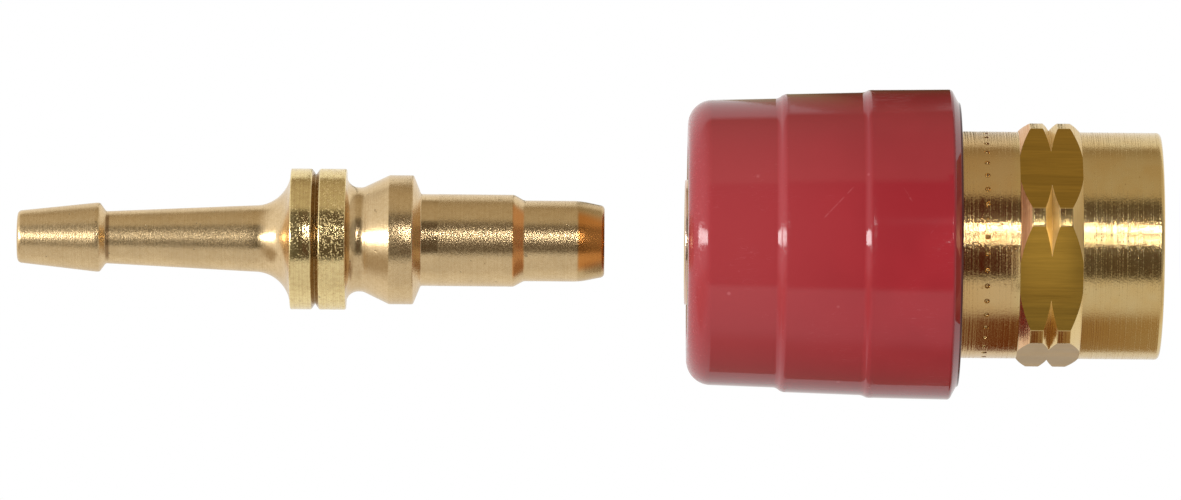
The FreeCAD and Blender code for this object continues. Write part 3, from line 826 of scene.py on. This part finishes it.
def wind(piece, turns, pitch, steps):
    """Wind the closed outline in edit mode along the X axis; a negative pitch is left-handed."""
    bpy.ops.object.mode_set(mode="OBJECT")
    screw = piece.modifiers.new("wind", "SCREW")
    screw.axis = "X"
    screw.angle = math.copysign(2 * math.pi * turns, pitch)
    screw.screw_offset = abs(pitch) * turns
    screw.steps = screw.render_steps = round(steps * turns)
    screw.use_smooth_shade = True
    bpy.ops.object.modifier_apply(modifier=screw.name)
    bpy.ops.object.mode_set(mode="EDIT")
    bpy.ops.mesh.select_all(action="DESELECT")
    bpy.ops.mesh.select_non_manifold()
    bpy.ops.mesh.fill_holes(sides=0)
    close_up(piece)


def smooth(piece, degrees):
    """Smooth shading up to an angle, with large faces kept flat beside their rounded edges."""
    bpy.ops.object.select_all(action="DESELECT")
    piece.select_set(True)
    bpy.context.view_layer.objects.active = piece
    bpy.ops.object.shade_smooth_by_angle(angle=math.radians(degrees))
    weights = piece.modifiers.new("weights", "WEIGHTED_NORMAL")
    weights.keep_sharp = True
    bpy.ops.object.modifier_apply(modifier=weights.name)


def add_cutter(shape, **inputs):
    """A primitive that is later joined with others and cut away from a piece."""
    bpy.ops.object.select_all(action="DESELECT")
    shape(**inputs)
    return bpy.context.object


def cut_away(piece, cutters):
    """Cut all the cutters out of a piece at once and close its mesh up."""
    bpy.ops.object.select_all(action="DESELECT")
    for cutter in cutters:
        cutter.select_set(True)
    bpy.context.view_layer.objects.active = cutters[0]
    if len(cutters) > 1:
        bpy.ops.object.join()
    tool = bpy.context.object
    bpy.ops.object.select_all(action="DESELECT")
    piece.select_set(True)
    bpy.context.view_layer.objects.active = piece
    cut = piece.modifiers.new("cut", "BOOLEAN")
    cut.operation = "DIFFERENCE"
    cut.solver = "EXACT"
    cut.object = tool
    bpy.ops.object.modifier_apply(modifier=cut.name)
    bpy.data.objects.remove(tool)
    bpy.ops.object.mode_set(mode="EDIT")
    close_up(piece)


def around(degrees):
    """A direction square to the axis: 0 points at the camera, 90 points up."""
    angle = math.radians(degrees)
    return Vector((0, -math.cos(angle), math.sin(angle)))


def turn_to(direction):
    """The turn about X that brings up to a direction square to the axis."""
    return (math.atan2(-direction.y, direction.z), 0, 0)


def put_finish(piece, *materials):
    piece.data.materials.clear()
    for material in materials:
        piece.data.materials.append(material)


def settle(piece, body, slot, *nodes):
    """The piece moves with a body and stands for CAD nodes, which it hides; the slot is not used.
    """
    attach(piece, body)
    if nodes:
        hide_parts(*nodes)


class COUPLING_OT_stage(bpy.types.Operator):
    """Set up the camera, the soft lights, the white surround and the pale floor"""
    bl_idname = "coupling.stage"
    bl_label = "Set Stage"

    def execute(self, context):
        settings = context.scene.coupling_stage
        self.place_camera(context.scene, settings)
        target = Vector((settings.centre, 0, 0))
        for name, offset, width, height, watts, shown in LAMPS:
            self.hang_lamp(name, target, Vector(offset), (width, height), watts, shown)
        for name, middle, size, turn, melt, shades in CARDS:
            middle, size = Vector(middle) * MM, Vector((*size, 0)) * MM
            self.hang_card(name, middle, size, math.radians(turn), melt, shades)
        self.lay_floor(settings)
        self.light_world(context.scene)
        context.scene.view_settings.view_transform = "Standard"
        return {"FINISHED"}

    def place_camera(self, scene, settings):
        bpy.ops.object.camera_add(
            location=(settings.centre, -settings.distance, -settings.drop),
            rotation=(math.pi / 2, settings.roll, 0))
        camera = bpy.context.object
        camera.name = "camera"
        camera.data.sensor_width = SENSOR_WIDTH
        camera.data.lens = SENSOR_WIDTH * settings.distance / settings.frame_width
        camera.data.clip_start = 0.01
        scene.camera = camera

    def hang_lamp(self, name, target, offset, size, watts, shown):
        bpy.ops.object.light_add(type="AREA", location=target + offset)
        lamp = bpy.context.object
        lamp.name = name
        lamp.rotation_euler = (-offset).to_track_quat("-Z", "Y").to_euler()
        lamp.data.shape = "RECTANGLE"
        lamp.data.size, lamp.data.size_y = size
        lamp.data.energy = watts
        lamp.visible_glossy = shown
        lamp.visible_camera = False

    def hang_card(self, name, middle, size, turn, melt, shades):
        bpy.ops.object.select_all(action="DESELECT")
        bpy.ops.mesh.primitive_plane_add(size=1, location=middle, rotation=(turn, 0, 0))
        card = bpy.context.object
        card.name = name
        card.scale = (size.x, size.y, 1)
        bpy.ops.object.transform_apply(location=True, rotation=True, scale=True)
        for ray in ("camera", "diffuse", "transmission", "volume_scatter", "shadow"):
            setattr(card, "visible_" + ray, False)
        material, shader, place = new_finish(name)
        across = (place.axis(0) - (middle.x - size.x / 2) / MM) * (MM / size.x)
        tone = across.node("ShaderNodeValToRGB", {"stops": shades}, {0: across})
        axis, start, end, last = melt
        tone = place.axis(axis).fade(start, end).colour(tone, last)
        feed(
            shader, Base_Color=(0, 0, 0, 1), Specular_IOR_Level=0.0,
            Emission_Color=tone, Emission_Strength=1.0)
        put_finish(card, material)

    def lay_floor(self, settings):
        bpy.ops.object.select_all(action="DESELECT")
        bpy.ops.mesh.primitive_circle_add(
            vertices=96, radius=settings.floor_radius, fill_type="NGON",
            location=(settings.centre, 0, -settings.floor_drop))
        floor = bpy.context.object
        floor.name = "floor"
        floor.visible_glossy = False
        material, shader, place = new_finish("pale_floor")
        tone = place.noise(0.05, 2.0).colour(FLOOR_DARK, FLOOR_LIGHT)
        feed(shader, Base_Color=tone, Roughness=0.8)
        put_finish(floor, material)

    def light_world(self, scene):
        world = bpy.data.worlds.new("studio")
        scene.world = world
        world.use_nodes = True
        tree = world.node_tree
        start = Wire(tree)
        towards = start.node("ShaderNodeTexCoord", None, None, "Generated")
        sideways = towards.axis(0)
        left = sideways.fade(-0.12, -0.75)
        right = sideways.fade(0.16, 0.60) * 0.35
        shaded = towards.axis(2).band(-0.80, -0.34, 0.10) * towards.axis(1).fade(0.20, -0.05)
        side = shaded.colour(SIDE_LIGHT, SIDE_SHADE)
        turn = start.maths("ARCTAN2", towards.axis(2), 0 - towards.axis(1)) * (0.5 / math.pi) + 0.5
        stops = [(0.5 + degrees / 360, shade) for degrees, shade in ROOM]
        room = turn.node("ShaderNodeValToRGB", {"stops": stops}, {0: turn})
        room = (left + right).colour(room, side)
        glossy = start.node("ShaderNodeLightPath", None, None, "Is Glossy Ray")
        camera = start.node("ShaderNodeLightPath", None, None, "Is Camera Ray")
        shade = glossy.colour(SOFT_LIGHT, room)
        shade = camera.colour(shade, WHITE)
        tree.links.new(shade.socket, tree.nodes["Background"].inputs["Color"])


class COUPLING_OT_probe(bpy.types.Operator):
    """Turn the brass probe with its hose tail, collars, latch groove and nose"""
    bl_idname = "coupling.probe"
    bl_label = "Turn Probe"

    def execute(self, context):
        settings = context.scene.coupling_probe
        piece = turn_piece("turned_probe", PROBE_OUTLINE, PROBE_LOW.x, settings.steps)
        smooth(piece, degrees=40)
        put_finish(piece, probe_brass(settings))
        settle(piece, "probe", "probe_brass", "probe")
        return {"FINISHED"}


class COUPLING_OT_socket(bpy.types.Operator):
    """Turn the socket's brass body, mill its hex flats, drill its ball holes and punch its dots"""
    bl_idname = "coupling.socket"
    bl_label = "Turn Socket"

    def execute(self, context):
        settings = context.scene.coupling_socket
        piece = turn_piece("turned_socket", SOCKET_OUTLINE, SOCKET_LOW.x, settings.steps)
        cutters = self.flat_cutters(settings) + self.ball_drills() + self.dot_punches(settings)
        cut_away(piece, cutters)
        smooth(piece, degrees=32)
        put_finish(piece, socket_brass(settings), milled_brass(settings))
        self.finish_flats(piece, settings)
        settle(piece, "socket", "socket_brass", "socket_body")
        return {"FINISHED"}

    def flat_cutters(self, settings):
        middle = SOCKET_LOW.x + (HEX_START + HEX_WIDTH / 2) * MM
        made = []
        for index in range(6):
            out = around(math.degrees(settings.hex_turn) + 30 + 60 * index)
            made.append(add_cutter(
                bpy.ops.mesh.primitive_cube_add, size=1, rotation=turn_to(out),
                location=Vector((middle, 0, 0)) + out * settings.hex_flats,
                scale=(HEX_WIDTH * MM, 2 * settings.hex_flats, settings.hex_flats)))
        return made

    def ball_drills(self):
        plane = (BALL_LOW.x + BALL_HIGH.x) / 2
        radius = (BALL_HIGH.x - BALL_LOW.x) / 2 + BALL_PLAY * MM
        made = []
        for index in range(6):
            out = around(90 + 60 * index)
            made.append(add_cutter(
                bpy.ops.mesh.primitive_cylinder_add, vertices=48, radius=radius,
                depth=BALL_DRILL_DEPTH * MM, rotation=turn_to(out),
                location=Vector((plane, 0, 0)) + out * BALL_DRILL_MIDDLE * MM))
        return made

    def dot_punches(self, settings):
        row = Vector((SOCKET_LOW.x + DOT_PLACE * MM, 0, 0))
        reach = BODY_RADIUS * MM + DOT_LIFT * settings.dot_radius
        made = []
        for index in range(settings.dot_count):
            out = around(360 / settings.dot_count * index + DOT_TURN)
            made.append(add_cutter(
                bpy.ops.mesh.primitive_ico_sphere_add, subdivisions=2, radius=settings.dot_radius,
                rotation=turn_to(out), location=row + out * reach))
        return made

    def finish_flats(self, piece, settings):
        reach = settings.hex_flats / 2
        for face in piece.data.polygons:
            on_flat = abs(face.normal.dot(face.center) - reach) < 0.004 * MM
            if on_flat and abs(face.normal.x) < 0.01:
                face.material_index = 1


class COUPLING_OT_thread(bpy.types.Operator):
    """Wind the left-hand ridge of the inlet thread inside the socket's end"""
    bl_idname = "coupling.thread"
    bl_label = "Cut Thread"

    def execute(self, context):
        settings = context.scene.coupling_socket
        piece = draw_outline("inlet_thread", THREAD_OUTLINE, SOCKET_LOW.x + THREAD_START * MM, True)
        wind(piece, settings.thread_turns, -settings.thread_pitch, 96)
        smooth(piece, degrees=35)
        put_finish(piece, bpy.data.materials["polished_brass"])
        settle(piece, "socket", "socket_brass")
        return {"FINISHED"}


class COUPLING_OT_sleeve(bpy.types.Operator):
    """Turn the moulded red grip sleeve with its two soft steps"""
    bl_idname = "coupling.sleeve"
    bl_label = "Turn Sleeve"

    def execute(self, context):
        settings = context.scene.coupling_sleeve
        piece = turn_piece("red_sleeve", self.outline(settings), SLEEVE_LOW.x, settings.steps)
        smooth(piece, degrees=40)
        put_finish(piece, red_plastic(settings))
        settle(piece, "sleeve", "red_grip", "grip_sleeve")
        return {"FINISHED"}

    def outline(self, settings):
        rows = [(0.00, 9.70, 0.25, 5), (0.00, 13.90, settings.front_rounding / MM, 20)]
        rows += self.soft_step(8.50, 14.17, 1.15, settings.first_step / MM)
        rows += self.soft_step(16.95, 14.84, 0.95, settings.second_step / MM)
        rows += [
            (25.76, 15.20, 0.22, 4),
            (26.40, 13.98, 0.06, 3),
            (26.60, 13.90, 0.08, 3),
            (26.60, 11.30, 0.10, 3),
            (26.46, 11.18, 0.00, 0),
            (21.70, 11.18, 0.00, 0),
            (21.70, 11.75, 0.00, 0),
            (20.50, 11.75, 0.00, 0),
            (20.50, 11.18, 0.00, 0),
            (9.342, 11.18, 0.00, 0),
            (9.342, 11.00, 0.00, 0),
            (1.00, 11.00, 0.00, 0),
            (1.00, 9.70, 0.15, 4),
        ]
        return rows

    def soft_step(self, place, radius, length, rise):
        """Two corners whose roundings meet half way up the step."""
        half = length / 2
        lead = (half ** 2 + (rise / 2) ** 2) / length
        return [
            (place + lead, radius, lead * 0.98, 8),
            (place + length - lead, radius + rise, lead * 0.98, 8),
        ]


class COUPLING_OT_spool(bpy.types.Operator):
    """Turn the valve spool that closes the socket's mouth, and drill its gas ports"""
    bl_idname = "coupling.spool"
    bl_label = "Turn Spool"

    def execute(self, context):
        settings = context.scene.coupling_inner
        piece = turn_piece(
            "turned_spool", SPOOL_OUTLINE, SPOOL_LOW.x, settings.spool_steps, closed=False)
        row = Vector((SPOOL_LOW.x + PORT_PLACE * MM, 0, 0))
        drills = []
        for index in range(4):
            out = around(90 * index)
            drills.append(add_cutter(
                bpy.ops.mesh.primitive_cylinder_add, vertices=32, radius=PORT_RADIUS * MM,
                depth=PORT_DRILL_DEPTH * MM, rotation=turn_to(out),
                location=row + out * PORT_DRILL_MIDDLE * MM))
        cut_away(piece, drills)
        smooth(piece, degrees=35)
        put_finish(piece, bpy.data.materials["polished_brass"])
        settle(piece, "valve", "spool_brass", "valve_spool")
        return {"FINISHED"}


class COUPLING_OT_springs(bpy.types.Operator):
    """Wind the valve spring and the sleeve spring, and grind their ends flat"""
    bl_idname = "coupling.springs"
    bl_label = "Wind Springs"

    def execute(self, context):
        settings = context.scene.coupling_inner
        steel = drawn_steel(settings)
        valve = self.coil(
            "wound_valve_spring", VALVE_SPRING_LOW.x, VALVE_SPRING_HIGH.x, *VALVE_COIL, settings)
        sleeve = self.coil(
            "wound_sleeve_spring", SLEEVE_SPRING_LOW.x, SLEEVE_SPRING_HIGH.x, *SLEEVE_COIL,
            settings)
        for piece in (valve, sleeve):
            put_finish(piece, steel)
        settle(valve, "socket", "spring_steel", "valve_spring")
        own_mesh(valve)
        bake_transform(sleeve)
        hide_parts("sleeve_spring")
        return {"FINISHED"}

    def coil(self, name, start, end, mean, wire, turns, settings):
        bpy.ops.object.select_all(action="DESELECT")
        bpy.ops.mesh.primitive_circle_add(
            vertices=16, radius=wire * MM,
            location=(start, 0, mean * MM), rotation=(math.pi / 2, 0, 0))
        piece = bpy.context.object
        piece.name = name
        piece.data.name = name
        bpy.ops.object.transform_apply(location=True, rotation=True, scale=True)
        bpy.ops.object.mode_set(mode="EDIT")
        wind(piece, turns, (end - start) / turns, settings.spring_steps)
        thick, wide = 4 * MM, 30 * MM
        wheels = [
            add_cutter(
                bpy.ops.mesh.primitive_cube_add, size=1, location=(middle, 0, 0),
                scale=(thick, wide, wide))
            for middle in (start - thick / 2, end + thick / 2)]
        cut_away(piece, wheels)
        smooth(piece, degrees=50)
        return piece


class COUPLING_OT_inner(bpy.types.Operator):
    """Finish the rings, balls, seals, spring seat and filter inside the socket"""
    bl_idname = "coupling.inner"
    bl_label = "Finish Inner Pieces"

    def execute(self, context):
        settings = context.scene.coupling_inner
        steel = bpy.data.materials["drawn_steel"]
        rubber = seal_rubber(settings)
        finishes = {
            "lock_ring": steel,
            "sleeve_stop_ring": steel,
            "seat_circlip": steel,
            "valve_seal": rubber,
            "spool_o_ring": rubber,
            "probe_o_ring": rubber,
            "spring_seat": bpy.data.materials["polished_brass"],
            "inlet_filter": sintered_bronze(),
            "inlet_seal": pressed_fibre(),
        }
        for index in range(6):
            finishes[f"lock_ball_{index + 1}"] = steel
        for node, material in finishes.items():
            put_finish(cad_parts[node], material)
        return {"FINISHED"}


class COUPLING_PT_panel(bpy.types.Panel):
    """Pieces of the gas hose coupling"""
    bl_label = "Gas Hose Coupling"
    bl_idname = "COUPLING_PT_panel"
    bl_space_type = "VIEW_3D"
    bl_region_type = "UI"
    bl_category = "Coupling"

    def draw(self, context):
        for settings, operators in PANEL_ROWS:
            box = self.layout.box()
            group = getattr(context.scene, settings)
            for name in group.__annotations__:
                box.prop(group, name)
            for operator in operators:
                box.operator(operator)


PANEL_ROWS = (
    ("coupling_stage", ("coupling.stage",)),
    ("coupling_probe", ("coupling.probe",)),
    ("coupling_socket", ("coupling.socket", "coupling.thread")),
    ("coupling_sleeve", ("coupling.sleeve",)),
    ("coupling_inner", ("coupling.spool", "coupling.springs", "coupling.inner")),
)
SETTINGS = {
    "coupling_stage": CouplingStage,
    "coupling_probe": CouplingProbe,
    "coupling_socket": CouplingSocket,
    "coupling_sleeve": CouplingSleeve,
    "coupling_inner": CouplingInner,
}
TOOLS = (
    COUPLING_OT_stage,
    COUPLING_OT_probe,
    COUPLING_OT_socket,
    COUPLING_OT_thread,
    COUPLING_OT_sleeve,
    COUPLING_OT_spool,
    COUPLING_OT_springs,
    COUPLING_OT_inner,
    COUPLING_PT_panel,
)


def register():
    for made in (*SETTINGS.values(), *TOOLS):
        bpy.utils.register_class(made)
    for name, group in SETTINGS.items():
        setattr(bpy.types.Scene, name, bpy.props.PointerProperty(type=group))


def unregister():
    for name in SETTINGS:
        delattr(bpy.types.Scene, name)
    for made in reversed((*SETTINGS.values(), *TOOLS)):
        bpy.utils.unregister_class(made)


def main():
    register()
    bpy.ops.coupling.stage()
    bpy.ops.coupling.probe()
    bpy.ops.coupling.socket()
    bpy.ops.coupling.thread()
    bpy.ops.coupling.sleeve()
    bpy.ops.coupling.spool()
    bpy.ops.coupling.springs()
    bpy.ops.coupling.inner()


if __name__ == "__main__":
    main()
